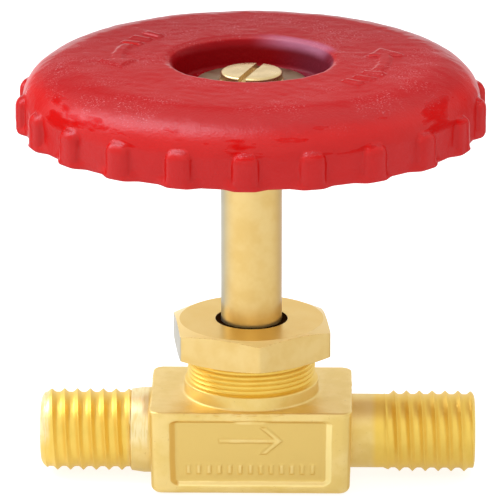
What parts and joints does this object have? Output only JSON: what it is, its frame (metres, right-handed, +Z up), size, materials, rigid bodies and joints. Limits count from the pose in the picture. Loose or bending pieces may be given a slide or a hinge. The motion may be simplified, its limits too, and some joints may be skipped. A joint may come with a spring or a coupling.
{
  "type": "needle valve",
  "caption": "Inline brass needle valve: square forged body with male pipe ends, hexagonal gland nut, long plain spindle and a lobed red handwheel held by a slotted screw.",
  "frame": {"origin": "on the spindle's axis, on the underside of the body", "axes": "+X along the pipe from inlet to outlet, +Y towards the back of the body, +Z up the spindle to the handwheel"},
  "size_m": [0.0742, 0.0744, 0.0692],
  "materials": {
    "forged_brass": "satin forged and cleaned brass",
    "turned_brass": "machined brass",
    "packing": "white PTFE packing",
    "stainless_steel": "ground stainless steel",
    "red_enamel": "red stoving enamel on a casting",
    "plated_steel": "dull zinc plated steel"
  },
  "bodies": {
    "valve_body": {"body": "forged_brass", "packing_washer": "turned_brass", "packing_ring_1": "packing", "packing_ring_2": "packing", "packing_ring_3": "packing"},
    "gland_follower": {"gland_follower": "turned_brass"},
    "gland_nut": {"gland_nut": "turned_brass"},
    "needle": {"needle": "stainless_steel"},
    "spindle": {"spindle": "turned_brass", "handwheel": "red_enamel", "wheel_washer": "plated_steel", "wheel_screw": "turned_brass"}
  },
  "joints": [
    {"name": "needle_lift", "type": "slide", "parent": "valve_body", "child": "needle", "axis": [0, 0, 1], "range_m": [0, 0.003]},
    {"name": "handwheel_turn", "type": "hinge", "parent": "needle", "child": "spindle", "pos_m": [0, 0, 0.05805], "axis": [0, 0, 1], "range_deg": [0, 1080]},
    {"name": "gland_travel", "type": "slide", "parent": "valve_body", "child": "gland_follower", "axis": [0, 0, 1], "range_m": [-0.0005, 0], "deforming": ["packing_ring_1", "packing_ring_2", "packing_ring_3"]},
    {"name": "gland_nut_turn", "type": "hinge", "parent": "gland_follower", "child": "gland_nut", "pos_m": [0, 0, 0.0206], "axis": [0, 0, 1], "range_deg": [-240, 0]}
  ],
  "couplings": [
    {"joint": "needle_lift", "follows": "handwheel_turn", "m_per_rad": 0.00015915},
    {"joint": "gland_travel", "follows": "gland_nut_turn", "m_per_rad": 0.00011937}
  ]
}
